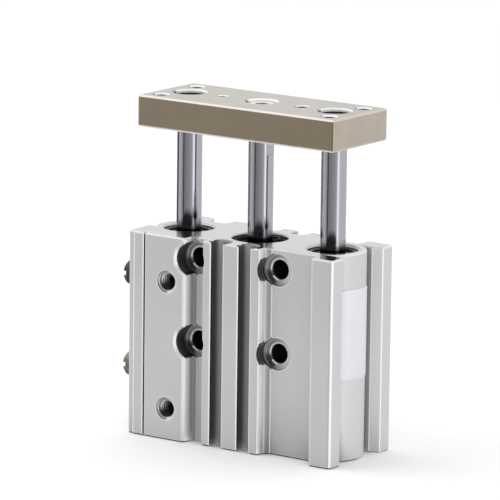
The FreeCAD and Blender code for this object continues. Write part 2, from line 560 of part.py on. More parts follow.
os.makedirs("parts", exist_ok=True)
for name, make in PARTS.items():
    shape = make()
    shape.exportStep("parts/%s.step" % name)
    print("%-28s solids %d  volume %9.2f  valid %s" % (name, len(shape.Solids), shape.Volume, shape.isValid()))
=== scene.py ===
"""Looks of a guided pneumatic cylinder: finishes for its solids, screw threads and a plain stage.

Laid out as an add-on and run as a script. Every length is in metres.
"""

import math

import bpy
from bpy.props import FloatProperty, FloatVectorProperty, IntProperty, PointerProperty
from mathutils import Matrix, Vector


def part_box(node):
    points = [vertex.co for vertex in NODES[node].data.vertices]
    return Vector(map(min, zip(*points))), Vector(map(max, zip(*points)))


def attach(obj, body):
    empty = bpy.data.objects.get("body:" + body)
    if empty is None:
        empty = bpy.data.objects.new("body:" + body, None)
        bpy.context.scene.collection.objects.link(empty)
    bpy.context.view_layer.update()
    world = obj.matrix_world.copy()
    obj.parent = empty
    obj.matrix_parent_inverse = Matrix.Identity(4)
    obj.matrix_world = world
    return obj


bl_info = {
    "name": "Guided cylinder looks",
    "version": (1, 0, 0),
    "blender": (4, 5, 0),
    "location": "View3D > Sidebar > Guided cylinder",
    "description": "Finishes, threads and stage for a guided pneumatic cylinder",
    "category": "Object",
}

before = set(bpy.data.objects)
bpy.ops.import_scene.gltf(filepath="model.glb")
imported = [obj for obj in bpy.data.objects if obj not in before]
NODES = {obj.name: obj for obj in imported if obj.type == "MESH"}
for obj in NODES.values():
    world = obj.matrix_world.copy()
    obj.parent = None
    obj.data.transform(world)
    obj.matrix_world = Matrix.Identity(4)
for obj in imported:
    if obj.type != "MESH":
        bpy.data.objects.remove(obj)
BODY_LOW, BODY_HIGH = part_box("housing")
PLATE_LOW, PLATE_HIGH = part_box("tool_plate")
MM = 0.001

# ---- landmarks of the solids ----------------------------------------------------------
SLOT_X, SLOT_Y, SLOT_R = 3.95 * MM, -10.05 * MM, 2.5 * MM  # front sensor slots
SLOT_LIP = 1.88 * MM  # from a slot's axis to the lip that catches the light
RIB_END = 8.1 * MM  # half the width of the three ribs
LEFT_STEP, RIGHT_STEP = -11.5 * MM, 9.9 * MM  # shallow steps in the front recesses
PAD_EDGE = -12.8 * MM  # right-hand edge of the port pad
REBATE_X, GROOVE_LIP = -27.6 * MM, -24.93 * MM  # edges on the port pad that catch the light
WING_X = 22.4 * MM  # inner side of the right-hand front wing
RECESS_Y = -8.0 * MM  # just behind the floors of the front recesses
LIP_X, LIP_Y = 26.98 * MM, 7.2 * MM  # inner corners of the rear lips
PIN_X = 11.4 * MM  # dowel holes of the tool plate
FLOOR_Z = -0.05 * MM  # a hair below the base, so that the two never share a plane

# ---- tones, and two sides of a rod ----------------------------------------------------
PAINTED_EDGE_HIGHLIGHT = (0.97, 0.97, 0.97, 1.0)  # painted highlight on the housing's edges, steps and lips
FOOT_SHADE_POINT, ROD_GLINT = (0.5, -0.866), (0.829, -0.559)  # sides of a rod, in X and Y: where the painted shade at its foot reaches highest, and its highlight, which that shade spares
FLOOR_WHITE = (0.98, 0.98, 0.98, 1.0)

# ---- studio panels: degrees to the camera's right, and brightness ---------------------
LOW_PANELS = (
    (-180, 0.35), (-146, 0.35), (-132, 0.03), (-121, 0.03), (-114, 0.70), (-84, 0.70),
    (-68, 0.46), (-60, 0.30), (-57, 0.02), (-53, 0.02), (-48, 0.30), (0, 0.46), (20, 0.56),
    (32, 1.00), (39, 2.00), (47, 1.15), (60, 0.86), (110, 0.82), (180, 0.76),
)
HIGH_PANELS = (
    (-180, 1.05), (-120, 0.95), (-82, 0.66), (-60, 0.44), (0, 0.40), (30, 0.42),
    (40, 1.30), (50, 0.80), (90, 0.95), (180, 1.05),
)

# ---- threads and camera ---------------------------------------------------------------
TURN = 2 * math.pi  # a whole turn
INTO_FRONT, INTO_BACK = (-math.pi / 2, 0.0, 0.0), (math.pi / 2, 0.0, 0.0)
INTO_BASE, INTO_PLATE = (0.0, 0.0, 0.0), (math.pi, 0.0, 0.0)
CORNERS = [(across, along) for across in (-1, 1) for along in (-1, 1)]
SHARP = math.radians(35)  # edges of a thread that bend more than this stay crisp
SENSOR_WIDTH = 36.0  # in millimetres
NEAREST, FARTHEST = 0.05, 20.0  # how far the camera sees


# ---- shader building ------------------------------------------------------------------
def rgba(colour, by=1.0):
    return (colour[0] * by, colour[1] * by, colour[2] * by, 1.0)


class Value:
    """A socket of a node tree that takes part in ordinary arithmetic."""

    def __init__(self, finish, socket):
        self.finish = finish
        self.socket = socket

    def work(self, operation, *terms):
        inputs = dict(enumerate(terms))
        return self.finish.node("ShaderNodeMath", {"operation": operation}, inputs)

    def __add__(self, other):
        return self.work("ADD", self, other)

    def __radd__(self, other):
        return self.work("ADD", other, self)

    def __sub__(self, other):
        return self.work("SUBTRACT", self, other)

    def __rsub__(self, other):
        return self.work("SUBTRACT", other, self)

    def __mul__(self, other):
        return self.work("MULTIPLY", self, other)

    def __rmul__(self, other):
        return self.work("MULTIPLY", other, self)

    def __truediv__(self, other):
        return self.work("DIVIDE", self, other)

    def __pow__(self, other):
        return self.work("POWER", self, other)

    def __abs__(self):
        return self.work("ABSOLUTE", self)

    def __lt__(self, other):
        return self.work("LESS_THAN", self, other)

    def __gt__(self, other):
        return self.work("GREATER_THAN", self, other)

    def sine(self):
        return self.work("SINE", self)

    def larger(self, *others):
        """Largest of this value and the others."""
        most = self
        for other in others:
            most = most.work("MAXIMUM", most, other)
        return most

    def between(self, low, high):
        return (self > low) * (self < high)

    def near(self, at, reach):
        return abs(self - at) < reach

    def away_from(self, middle, spacing):
        """Offset from the nearer of two places that lie the spacing apart."""
        offset = self - middle
        return offset - ((offset > 0.0) * 2.0 - 1.0) * (spacing / 2)

    def ease(self, low, high, start=0.0, end=1.0):
        """Runs smoothly from start to end while this value goes from low to high."""
        settings = {"interpolation_type": "SMOOTHSTEP", "clamp": True}
        inputs = {0: self, 1: low, 2: high, 3: start, 4: end}
        return self.finish.node("ShaderNodeMapRange", settings, inputs)

    def waves(self, pitch, shift=0.0):
        """Stripes between 0 and 1, one pitch apart."""
        return (self * (TURN / pitch) + shift).sine() * 0.5 + 0.5


class Finish:
    """Node tree of one material or of the world."""

    def __init__(self, holder):
        holder.use_nodes = True
        self.holder = holder
        self.tree = holder.node_tree
        self.tree.nodes.clear()

    def node(self, kind, settings=None, inputs=None, out=0):
        """Adds a node. Its settings come first, then the values or links of its sockets."""
        made = self.tree.nodes.new(kind)
        for key, value in (settings or {}).items():
            if key == "stops":
                self.set_stops(made.color_ramp.elements, value)
            else:
                setattr(made, key, value)
        for key, value in (inputs or {}).items():
            if isinstance(value, Value):
                self.tree.links.new(value.socket, made.inputs[key])
            else:
                made.inputs[key].default_value = value
        return Value(self, made.outputs[out]) if len(made.outputs) else None

    def set_stops(self, elements, stops):
        """A new ramp has two stops, so only the third and later ones are added."""
        for index, (at, colour) in enumerate(stops):
            stop = elements[index] if index < 2 else elements.new(at)
            stop.position = at
            stop.color = colour

    def place(self):
        return self.node("ShaderNodeTexCoord", out="Object")

    def parts(self, vector):
        split = self.node("ShaderNodeSeparateXYZ", inputs={0: vector}).socket.node
        return [Value(self, socket) for socket in split.outputs]

    def facing(self):
        return self.node("ShaderNodeNewGeometry", out="Normal")

    def vector(self, operation, first, second, out=0):
        inputs = {0: first, 1: second}
        return self.node("ShaderNodeVectorMath", {"operation": operation}, inputs, out)

    def scaled(self, vector, by):
        return self.vector("MULTIPLY", vector, by)

    def dot(self, first, second):
        return self.vector("DOT_PRODUCT", first, second, "Value")

    def noise(self, vector, scale, detail=3.0):
        inputs = {"Vector": vector, "Scale": scale, "Detail": detail, "Roughness": 0.55}
        return self.node("ShaderNodeTexNoise", inputs=inputs)

    def blend(self, share, first, second):
        inputs = {0: share, 6: first, 7: second}
        return self.node("ShaderNodeMix", {"data_type": "RGBA"}, inputs, out=2)

    def bump(self, height, depth, strength=1.0, over=None):
        """Relief of the given height, laid over the plain surface or over rounded edges."""
        inputs = {"Height": height, "Distance": depth, "Strength": strength}
        if over is not None:
            inputs["Normal"] = over
        return self.node("ShaderNodeBump", inputs=inputs)

    def rounded(self, radius):
        """Facing of the surface with its edges rounded off."""
        return self.node("ShaderNodeBevel", {"samples": 8}, {"Radius": radius})

    def edge(self, radius, low=0.02, high=0.2):
        """1 on convex and concave edges and 0 on the faces between them."""
        return (1.0 - self.dot(self.rounded(radius), self.facing())).ease(low, high)

    def openness(self, reach, low=0.2, high=0.8):
        """0 deep in slots and holes and 1 on open faces."""
        settings, inputs = {"samples": 8}, {"Distance": reach}
        return self.node("ShaderNodeAmbientOcclusion", settings, inputs, "AO").ease(low, high)

    def port_place(self, look, x, z):
        """Distance from the axis of the nearer air port, and 1 above and to the left of it, on the
        side that is painted lit.
        """
        across = x - look.port_x
        along = z.away_from(look.port_level, look.port_spacing)
        reach = (across * across + along * along) ** 0.5
        return reach, ((along * 0.85 - across * 0.53) / reach).ease(-0.1, 0.85)

    def levels(self, value, panels):
        """Brightness of the panels round the part: (degrees from the camera's side, level)."""
        stops = [(turn / 360 + 0.5, rgba((level / 2,) * 3)) for turn, level in panels]
        return self.node("ShaderNodeValToRGB", {"stops": stops}, {0: value}) * 2.0

    def surface(self, colour, metallic, roughness, relief):
        """Ends the material in its shader."""
        inputs = {
            "Base Color": colour,
            "Metallic": metallic,
            "Roughness": roughness,
            "Normal": relief,
        }
        shader = self.node("ShaderNodeBsdfPrincipled", inputs=inputs)
        self.node("ShaderNodeOutputMaterial", inputs={"Surface": shader})
        return self.holder


# ---- the housing's finish -------------------------------------------------------------
class HousingSkin(Finish):
    """Satin anodised extrusion: fine drawn lines along Z, brighter milled ends, painted highlights
    on edges and painted shade in creases, slots, holes and ports.
    """

    def __init__(self, look):
        super().__init__(bpy.data.materials.new("anodised_aluminium"))
        self.look = look
        self.spot = self.place()
        self.x, self.y, self.z = self.parts(self.spot)
        self.nx, self.ny, self.nz = self.parts(self.facing())
        self.depth = self.y - BODY_LOW.y
        self.milled = abs(self.nz).ease(0.8, 0.95)
        self.upright = 1.0 - abs(self.nz).ease(0.2, 0.5)
        self.crease = self.openness(0.45 * MM, 0.55, 0.85)
        self.find_recesses()

    def find_recesses(self):
        """Masks of the walls, steps and floors in the front recesses and behind the round ends."""
        x, recess = self.x, self.y < RECESS_Y
        step = x.near(RIGHT_STEP, 0.08 * MM).larger(x.near(LEFT_STEP, 0.08 * MM))
        self.recess = recess
        self.step = step * (abs(self.nx) > 0.7) * recess
        self.flank = x.between(PAD_EDGE, LEFT_STEP) * recess * (1.0 - self.step)
        self.rib_foot = x.between(RIB_END, RIGHT_STEP) * recess * (1.0 - self.step)
        self.left_floor = x.between(LEFT_STEP, -RIB_END) * recess
        self.right_floor = x.between(RIGHT_STEP, WING_X) * recess * self.upright
        rear_lip = abs(x).near(LIP_X, 0.17 * MM) * self.upright
        self.rear_lip = rear_lip * self.y.between(LIP_Y - 0.4 * MM, LIP_Y + 0.9 * MM)
        self.slot = abs(x).near(SLOT_X, SLOT_R)
        self.slot = self.slot * self.y.between(SLOT_Y - 1.55 * MM, SLOT_Y + 2.7 * MM)

    def skin(self, by=1.0):
        return rgba(self.look.body_colour, by)

    def fillets(self):
        """1 on rounded corners that run along Z, where a highlight is painted; softer on the port
        pad's wide one.
        """
        x = self.x
        hollow = x.between(RIB_END + 0.15 * MM, RIGHT_STEP)
        hollow = hollow.larger(x.between(PAD_EDGE + 0.2 * MM, LEFT_STEP)) * self.recess
        pad_corner = x.between(PAD_EDGE - 1.3 * MM, PAD_EDGE + 0.1 * MM)
        pad_corner = pad_corner * self.recess * self.upright
        slant = abs(self.nx * self.ny) * 2.0
        narrow = slant.ease(0.74, 0.95) * (abs(self.y) > 7 * MM) * self.upright
        narrow = narrow * (1.0 - hollow) * (1.0 - pad_corner)
        return narrow.larger(pad_corner * slant.ease(0.2, 0.7) * 0.62)

    def lips(self):
        """1 on the sharp lips of the sensor slots and of the port pad's rebate and groove, where a
        highlight is painted.
        """
        slot_lip = abs(self.x + SLOT_LIP).near(SLOT_X, 0.19 * MM)
        slot_lip = slot_lip * (self.y < SLOT_Y - 1.6 * MM) * self.upright
        pad_lip = self.x.near(REBATE_X, 0.13 * MM).larger(self.x.near(GROOVE_LIP, 0.12 * MM))
        return slot_lip.larger(pad_lip * (self.depth < 0.45 * MM) * (abs(self.ny) > 0.5))

    def bright_edges(self):
        """1 where an edge, a step or the top of a recess wall catches the light."""
        sharp = self.edge(self.look.edge_radius, 0.003, 0.03) * self.crease
        pad_wall = self.flank * self.depth.ease(0.7 * MM, 2.6 * MM, 0.9, 0.0)
        rib_wall = self.rib_foot * (self.nx > 0.5) * self.depth.ease(0.9 * MM, 3.2 * MM, 0.9, 0.1)
        drawn = (self.fillets(), self.step, self.lips(), pad_wall, rib_wall, self.rear_lip)
        return sharp.larger(*drawn)

    def side_holes(self):
        """Masks of the counterbores' walls and bottoms and of the holes, and the bottoms' painted
        light and shade with a painted glint.
        """
        look, y = self.look, self.y
        across = self.x.away_from(0.0, look.mount_spacing_x)
        along = self.z.away_from(look.mount_level, look.mount_spacing_z)
        reach = (across * across + along * along) ** 0.5

        def toward(right, up):
            return (across * right + along * up) / reach

        here = (reach < look.seat_radius + 0.25 * MM) * (y < look.seat_level + 0.6 * MM)
        wall = here * (reach > look.seat_radius - 0.25 * MM) * (abs(self.ny) < 0.5)
        wall = wall * (y - look.seat_level).ease(-0.7 * MM, -0.5 * MM, 1.0, 0.0)
        bottom = here * (y > look.seat_level - 0.4 * MM) * (abs(self.ny) > 0.3)
        drilled = (reach < look.mount_radius) * (abs(y) < BODY_HIGH.y - 0.6 * MM)
        # painted highlights at the hole's rim and round the seat's outer edge on the upper-left
        # side, the seat lighter to the right, a painted dark sector at lower left and a painted
        # glint at the hole's lower-left edge
        rim_highlight = (reach - look.mount_radius).ease(0.25 * MM, 0.6 * MM, 1.0, 0.0)
        corner_highlight = reach.near(look.seat_radius - 0.28 * MM, 0.13 * MM)
        rings = (rim_highlight * 0.6 + corner_highlight * 0.5) * toward(-0.7, 0.7).ease(0.1, 0.7)
        tone = toward(1.0, 0.0).ease(-0.2, 0.9, 0.50, 0.86) + rings
        tone = tone * toward(-0.78, -0.62).ease(0.72, 0.97, 1.0, 0.15)
        glint = (reach < look.mount_radius + 0.38 * MM) * toward(-0.5, -0.87).ease(0.93, 0.97)
        return wall, bottom, drilled, tone.larger(glint * 1.6)

    def air_ports(self):
        """Masks of the ports' cone-shaped mouths and of their walls, and the mouths' thread stripes
        with painted light and shade.
        """
        look = self.look
        reach, lit = self.port_place(look, self.x, self.z)
        mouth = reach.between(look.port_radius, look.port_radius + 0.62 * MM)
        mouth = mouth * self.depth.between(0.02 * MM, 0.8 * MM)
        wall = (reach < look.port_radius + 0.3 * MM) * self.depth.between(0.45 * MM, 8 * MM)
        # the right half of a port's mouth is painted light: painted light
        right = (self.x - look.port_x).ease(-0.6 * MM, 0.8 * MM)
        tone = (reach.waves(look.port_stripe, 3.4) * 0.55 + 0.2 * lit).larger(right)
        return mouth, wall * (1.0 - mouth), tone

    def open_air(self, seat, edge):
        """0 where a place is so closed in that it is painted dark as painted shade, 1 on open
        faces.
        """
        behind_bulge = (abs(self.x) > 24 * MM) * (self.y > 0.0) * 0.72
        seen = self.openness(self.look.slot_reach, 0.16, 0.60).larger(seat, self.flank)
        seen = seen.larger(edge * self.crease, behind_bulge, self.rear_lip)
        return seen.larger(self.left_floor * 0.85, self.step, self.slot)

    def plain_colour(self, cloud, edge, seat_wall, turns):
        """Colour of the open faces, with painted highlights on edges and painted shade in creases
        and on faces the light reaches less, before the slots, holes and ports get their painted
        shade.
        """
        sloped = abs(self.nz).ease(0.35, 0.6) * (1.0 - self.milled)
        right_side = self.nx.ease(0.8, 0.98) * (self.x > BODY_HIGH.x - 0.5 * MM)
        bulge = (self.x > 25 * MM) * (abs(self.y) < 7 * MM) * self.upright
        right_side = right_side.larger(bulge * 0.7)
        low_floor_shade = self.right_floor * self.z.ease(4 * MM, 18 * MM, 0.8, 0.0)
        flank_shade = self.flank * self.y.ease(BODY_LOW.y + 2 * MM, RECESS_Y - 1.1 * MM, 0.0, 0.60)
        foot = (self.x - RIB_END).ease(0.35 * MM, 0.7 * MM, 0.0, 0.45)
        colour = self.blend(self.milled, self.skin(), self.skin(0.66))
        colour = self.blend(cloud.ease(0.3, 0.7) * 0.10, colour, self.skin(0.8))
        # upright faces painted a shade darker towards the top: painted shade
        colour = self.blend(self.z.ease(22 * MM, 45 * MM) * self.upright, colour, self.skin(0.92))
        # the right-hand recess floor is painted darker towards the bottom: painted shade
        colour = self.blend(low_floor_shade, colour, self.skin(0.86))
        # edges, steps, lips and the tops of recess walls are painted near white: a painted
        # highlight
        colour = self.blend(edge * (1.0 - seat_wall), colour, PAINTED_EDGE_HIGHLIGHT)
        # up-facing chamfers keep more of the plain colour, so their painted highlight is fainter
        colour = self.blend(sloped * 0.3, colour, self.skin())
        # counterbore walls are painted nearly black as painted shade, a little lighter on their
        # turning marks
        colour = self.blend(seat_wall * (1.0 - 0.35 * turns), colour, self.skin(0.015))
        # creases are painted darker from how closed in they are: painted shade
        colour = self.blend(self.crease.larger(self.step), self.skin(0.75), colour)
        colour = self.blend(flank_shade, colour, self.skin(0.12))
        # the recess floor right beside the ribs is painted darker: painted shade
        colour = self.blend(self.rib_foot * foot, colour, self.skin(0.3))
        # the right side and the round end are painted a shade darker: painted shade
        return self.blend(right_side * (1.0 - edge), colour, self.skin(0.90))

    def finished(self):
        """Puts the masks together and ends the material."""
        look = self.look
        drawn = self.noise(self.scaled(self.spot, (1.0, 1.0, 0.012)), 2600.0, 4.0)
        grain = self.noise(self.spot, 5200.0, 2.0)
        cloud = self.noise(self.spot, 90.0, 3.0)
        turns = self.y.waves(look.seat_mark_pitch)
        seat_wall, seat, drilled, seat_light_and_shade = self.side_holes()
        mouth, port_wall, mouth_stripes_and_light = self.air_ports()
        edge = self.bright_edges()
        into_slot = self.y - SLOT_Y
        # sensor slots are painted dark, less so further in: painted shade
        slot_shade = into_slot.ease(-0.9 * MM, 0.0, 0.0, 0.18)
        slot_shade = slot_shade + into_slot.ease(0.9 * MM, 1.9 * MM, 0.0, 0.34)

        colour = self.plain_colour(cloud, edge, seat_wall, turns)
        # closed-in places are painted nearly black: painted shade
        colour = self.blend(self.open_air(seat, edge), self.skin(0.03), colour)
        in_slot = self.blend(slot_shade, self.skin(0.01), self.skin())
        colour = self.blend(self.slot, colour, in_slot)
        # counterbore bottoms get painted light and shade
        colour = self.blend(seat, colour, self.blend(seat_light_and_shade, self.skin(0.02), self.skin(1.1)))
        # the side holes are painted black: painted shade
        colour = self.blend(drilled, colour, self.skin(0.02))
        # port mouths: the thread's stripes, with painted light above left and to the right and
        # painted shade elsewhere
        cut = self.blend(mouth_stripes_and_light, self.skin(0.05), (0.93, 0.93, 0.93, 1.0))
        colour = self.blend(mouth, colour, cut)
        # port walls are painted nearly black: painted shade
        colour = self.blend(port_wall, colour, self.skin(0.04))

        rough = look.body_roughness + (drawn - 0.5) * 0.10 + (grain - 0.5) * 0.08
        rough = rough - self.milled * 0.25 - edge * 0.22
        metal = look.body_metallic + self.milled * (1.0 - look.body_metallic)
        height = drawn * 0.5 + grain * 0.35 * (1.0 - self.milled) + turns * seat_wall * 14.0
        relief = self.bump(height, 0.000004, 0.6, self.rounded(look.edge_radius))
        return self.surface(colour, metal * (1.0 - edge * 0.8), rough, relief)


# ---- other materials ------------------------------------------------------------------
def turned_metal(name, colour, roughness, metallic=1.0, edge_light=0.35, shade=6 * MM):
    """Lathe-turned metal with faint rings across its axis, painted highlights on its edges and
    painted shade in its recesses.
    """
    f = Finish(bpy.data.materials.new(name))
    place = f.place()
    marks = f.parts(place)[2].waves(0.25 * MM)
    wear = f.noise(place, 700.0, 4.0)
    tone = f.blend(wear.ease(0.35, 0.75) * 0.25, rgba(colour), rgba(colour, 0.72))
    # painted highlight on edges
    tone = f.blend(f.edge(0.08 * MM) * edge_light, tone, (0.9, 0.9, 0.9, 1.0))
    # painted shade in recesses
    tone = f.blend(f.openness(shade, 0.1, 0.6), rgba(colour, 0.08), tone)
    rough = roughness + (wear - 0.5) * 0.12 + marks * 0.03
    return f.surface(tone, metallic, rough, f.bump(marks, 0.000002, 0.3))


def port_thread_metal(look):
    """Bright cut thread of the air ports, with painted light above and to the left and painted
    shade, nearly black, deeper in.
    """
    f = Finish(bpy.data.materials.new("port_thread_aluminium"))
    place = f.place()
    x, y, z = f.parts(place)
    lit = f.port_place(look, x, z)[1]
    # painted shade deeper into the port; painted light above and to the left
    shallow = (y - BODY_LOW.y).ease(0.9 * MM, 4.0 * MM, 1.0, 0.25)
    wear = f.noise(place, 900.0)
    tone = f.blend(lit * shallow, (0.015, 0.015, 0.016, 1.0), (0.95, 0.95, 0.96, 1.0))
    return f.surface(tone, 0.35, 0.3 + (wear - 0.5) * 0.1, f.bump(wear, 0.000003, 0.3))


def hard_chrome(look):
    """Ground and chromed bar: nearly a mirror, with painted shade and a painted dark reflection at
    its foot where it leaves the housing, sparing its highlight.
    """
    f = Finish(bpy.data.materials.new("hard_chrome"))
    place = f.place()
    rings = f.noise(f.scaled(place, (0.1, 0.1, 1.0)), 9000.0)
    haze = f.noise(place, 240.0)
    z = f.parts(place)[2]
    nx, ny = f.parts(f.facing())[:2]

    def toward(way):
        return nx * way[0] + ny * way[1]

    # painted shade and a painted dark reflection at the rod's foot, reaching highest on one side
    # and sparing the highlight
    point = toward(FOOT_SHADE_POINT).ease(0.86, 1.0, 0.0, 2.8 * MM)
    foot_shade = (z + haze * (0.6 * MM) - point - look.foot_shade_level).ease(0.0, look.foot_shade_height, 1.0, 0.0)
    foot_shade = foot_shade * toward(ROD_GLINT).ease(0.984, 0.997, 1.0, 0.3)
    chrome = look.chrome_colour
    tone = f.blend(haze.ease(0.3, 0.8) * 0.2, rgba(chrome), rgba(chrome, 0.85))
    tone = f.blend(foot_shade, tone, rgba(chrome, 0.08))
    rough = look.chrome_roughness + (rings - 0.5) * 0.05 + (haze - 0.5) * 0.04
    return f.surface(tone, 1.0, rough, f.bump(rings, 0.000001, 0.25))


def plated_steel(look):
    """Ground steel plate with a warm nickel plating, painted highlights on its chamfers, and holes
    painted black with a painted lit band near the top of their walls.
    """
    f = Finish(bpy.data.materials.new("plated_steel"))
    place = f.place()
    x, y, z = f.parts(place)
    nx, ny, nz = f.parts(f.facing())
    level = abs(nz).ease(0.8, 0.97)
    inside = (abs(x) < PLATE_HIGH.x - 0.7 * MM) * (abs(y) < PLATE_HIGH.y - 0.7 * MM)
    hole = inside * (abs(nz) < 0.9)
    narrow = (abs(y) > 5 * MM).larger(abs(x).near(PIN_X, 2 * MM))
    lit_from = narrow * (0.42 * MM) + (PLATE_HIGH.z - 0.80 * MM)
    # painted light: a lit band near the top of each hole's wall, the rest of the hole painted black
    # as painted shade
    lit = (z - lit_from).ease(-0.12 * MM, 0.12 * MM) * ny.ease(-0.1, 0.3, 1.0, 0.0)
    # chamfers and edges are painted light: painted highlight
    chamfer = abs(abs(nz) - 0.7).ease(0.05, 0.25, 1.0, 0.0) * abs(nx).ease(0.3, 0.6, 1.0, 0.35)
    edge = f.edge(0.2 * MM, 0.003, 0.05).larger(chamfer) * (1.0 - inside)
    ground = f.noise(f.scaled(place, (0.06, 1.0, 1.0)), 3800.0, 4.0)
    haze = f.noise(place, 160.0, 4.0)
    side, top = look.plate_colour, look.plate_top_colour
    in_hole = f.blend(lit, (0.015, 0.014, 0.013, 1.0), (1.0, 1.0, 0.99, 1.0))
    # sides, ends and top get different tones, partly for their finish and partly as painted light
    # and shade for how the light falls on each
    tone = f.blend(abs(nx).ease(0.5, 0.9), rgba(side), rgba(look.plate_end_colour))
    tone = f.blend(level, tone, rgba(top))
    tone = f.blend(haze.ease(0.35, 0.7) * 0.16, tone, rgba(side, 0.75))
    # the top is darker towards its +X end
    tone = f.blend(x.ease(18 * MM, 27 * MM) * level * 0.5, tone, rgba(top, 0.72))
    tone = f.blend(edge, tone, (0.80, 0.755, 0.70, 1.0))
    tone = f.blend(hole, tone, in_hole)
    rough = look.plate_roughness + (ground - 0.5) * 0.10 + (haze - 0.5) * 0.06 - level * 0.06
    relief = f.bump(ground, 0.000002, 0.35)
    return f.surface(tone, 1.0 - hole.larger(edge * 0.85), rough, relief)


def moulded(name, colour, roughness):
    """Rubber or resin straight from a mould, with a slight cloud and grain."""
    f = Finish(bpy.data.materials.new(name))
    place = f.place()
    grain = f.noise(place, 4200.0)
    cloud = f.noise(place, 500.0)
    tone = f.blend(cloud.ease(0.3, 0.75) * 0.25, rgba(colour), rgba(colour, 1.7))
    return f.surface(tone, 0.0, roughness + (cloud - 0.5) * 0.15, f.bump(grain, 0.000006, 0.4))


def label_film(look):
    """Blank polyester film, painted lighter where it faces the front: a painted sheen."""
    f = Finish(bpy.data.materials.new("label_film"))
    place = f.place()
    ny = f.parts(f.facing())[1]
    fibre = f.noise(place, 1800.0)
    cloud = f.noise(place, 120.0, 2.0)
    film = look.label_colour
    tone = f.blend(cloud.ease(0.3, 0.7) * 0.35, rgba(film), rgba(film, 0.93))
    # the film is painted lighter where it faces the front: a painted sheen
    tone = f.blend(ny.ease(-0.75, -0.15, 0.5, 0.0), tone, rgba(film, 1.25))
    return f.surface(tone, 0.0, 0.34 + (fibre - 0.5) * 0.12, f.bump(fibre, 0.000002, 0.25))


# ---- geometry node trees --------------------------------------------------------------
def tree_with(name, inputs):
    """New geometry tree with named inputs, and its group input and output nodes."""
    tree = bpy.data.node_groups.new(name, "GeometryNodeTree")
    tree.interface.new_socket("Geometry", in_out="INPUT", socket_type="NodeSocketGeometry")
    for label, kind in inputs:
        tree.interface.new_socket(label, in_out="INPUT", socket_type=kind)
    tree.interface.new_socket("Geometry", in_out="OUTPUT", socket_type="NodeSocketGeometry")
    return tree, tree.nodes.new("NodeGroupInput"), tree.nodes.new("NodeGroupOutput")


def join(tree, kind, inputs, settings=None):
    """Adds a geometry node whose sockets take links or values, and returns what it gives."""
    made = tree.nodes.new(kind)
    for key, value in (settings or {}).items():
        setattr(made, key, value)
    for key, value in inputs.items():
        if isinstance(value, bpy.types.NodeSocket):
            tree.links.new(value, made.inputs[key])
        else:
            made.inputs[key].default_value = value
    return made.outputs[0]


def thread_tree():
    """Helical ridge in each hole: its points are the holes' mouths, and Turn aims it inwards."""
    tree, given, result = tree_with(
        "screw_thread",
        [
            ("Wall radius", "NodeSocketFloat"),
            ("Pitch", "NodeSocketFloat"),
            ("Ridge", "NodeSocketFloat"),
            ("Length", "NodeSocketFloat"),
            ("Start", "NodeSocketFloat"),
            ("Segments", "NodeSocketInt"),
            ("Turn", "NodeSocketVector"),
            ("Finish", "NodeSocketMaterial"),
        ],
    )
    given = given.outputs
    lengths = {0: given["Length"], 1: given["Pitch"]}
    spiral = {
        "Resolution": given["Segments"],
        "Rotations": join(tree, "ShaderNodeMath", lengths, {"operation": "DIVIDE"}),
        "Start Radius": given["Wall radius"],
        "End Radius": given["Wall radius"],
        "Height": given["Length"],
    }
    helix = join(tree, "GeometryNodeCurveSpiral", spiral)
    upright = join(tree, "GeometryNodeSetCurveNormal", {"Curve": helix}, {"mode": "Z_UP"})
    section = {"Resolution": 4, "Radius": given["Ridge"]}
    ridge = join(tree, "GeometryNodeCurvePrimitiveCircle", section)
    sweep = {"Curve": upright, "Profile Curve": ridge, "Fill Caps": True}
    swept = join(tree, "GeometryNodeCurveToMesh", sweep)
    lift = join(tree, "ShaderNodeCombineXYZ", {"Z": given["Start"]})
    started = join(tree, "GeometryNodeTransform", {"Geometry": swept, "Translation": lift})
    aim = join(tree, "FunctionNodeEulerToRotation", {0: given["Turn"]})
    holes = {"Points": given["Geometry"], "Instance": started, "Rotation": aim}
    placed = join(tree, "GeometryNodeInstanceOnPoints", holes)
    real = join(tree, "GeometryNodeRealizeInstances", {"Geometry": placed})
    paint = {"Geometry": real, "Material": given["Finish"]}
    tree.links.new(join(tree, "GeometryNodeSetMaterial", paint), result.inputs[0])
    return tree


def grown(name, points, tree, values):
    """Runs a tree on a set of points and returns the result as a plain mesh object."""
    start = bpy.data.meshes.new(name + "_points")
    start.from_pydata([Vector(p) for p in points], [], [])
    piece = bpy.data.objects.new(name, start)
    bpy.context.scene.collection.objects.link(piece)
    shape = piece.modifiers.new("Shape", "NODES")
    shape.node_group = tree
    for item in tree.interface.items_tree:
        if item.item_type == "SOCKET" and item.in_out == "INPUT" and item.name in values:
            shape[item.identifier] = values[item.name]
    graph = bpy.context.evaluated_depsgraph_get()
    made = bpy.data.meshes.new_from_object(piece.evaluated_get(graph), depsgraph=graph)
    piece.modifiers.remove(shape)
    piece.data = made
    made.name = name
    if len(made.polygons) == 0:
        raise RuntimeError(f"{name} came out empty")
    return piece


# ---- settings -------------------------------------------------------------------------
def length(name, description, default):
    """Setting in metres."""
    return FloatProperty(name=name, description=description, default=default, unit="LENGTH")


def angle(name, description, default):
    """Setting in radians."""
    return FloatProperty(name=name, description=description, default=default, subtype="ANGLE")


def fraction(name, description, default):
    """Setting between 0 and 1."""
    return FloatProperty(name=name, description=description, default=default, min=0, max=1)


def position(name, description, default):
    """Setting that is a place."""
    return FloatVectorProperty(
        name=name, description=description, default=default, subtype="TRANSLATION"
    )


def tint(name, description, default):
    """Setting that is a colour."""
    return FloatVectorProperty(
        name=name, description=description, default=default, subtype="COLOR", min=0, max=1
    )


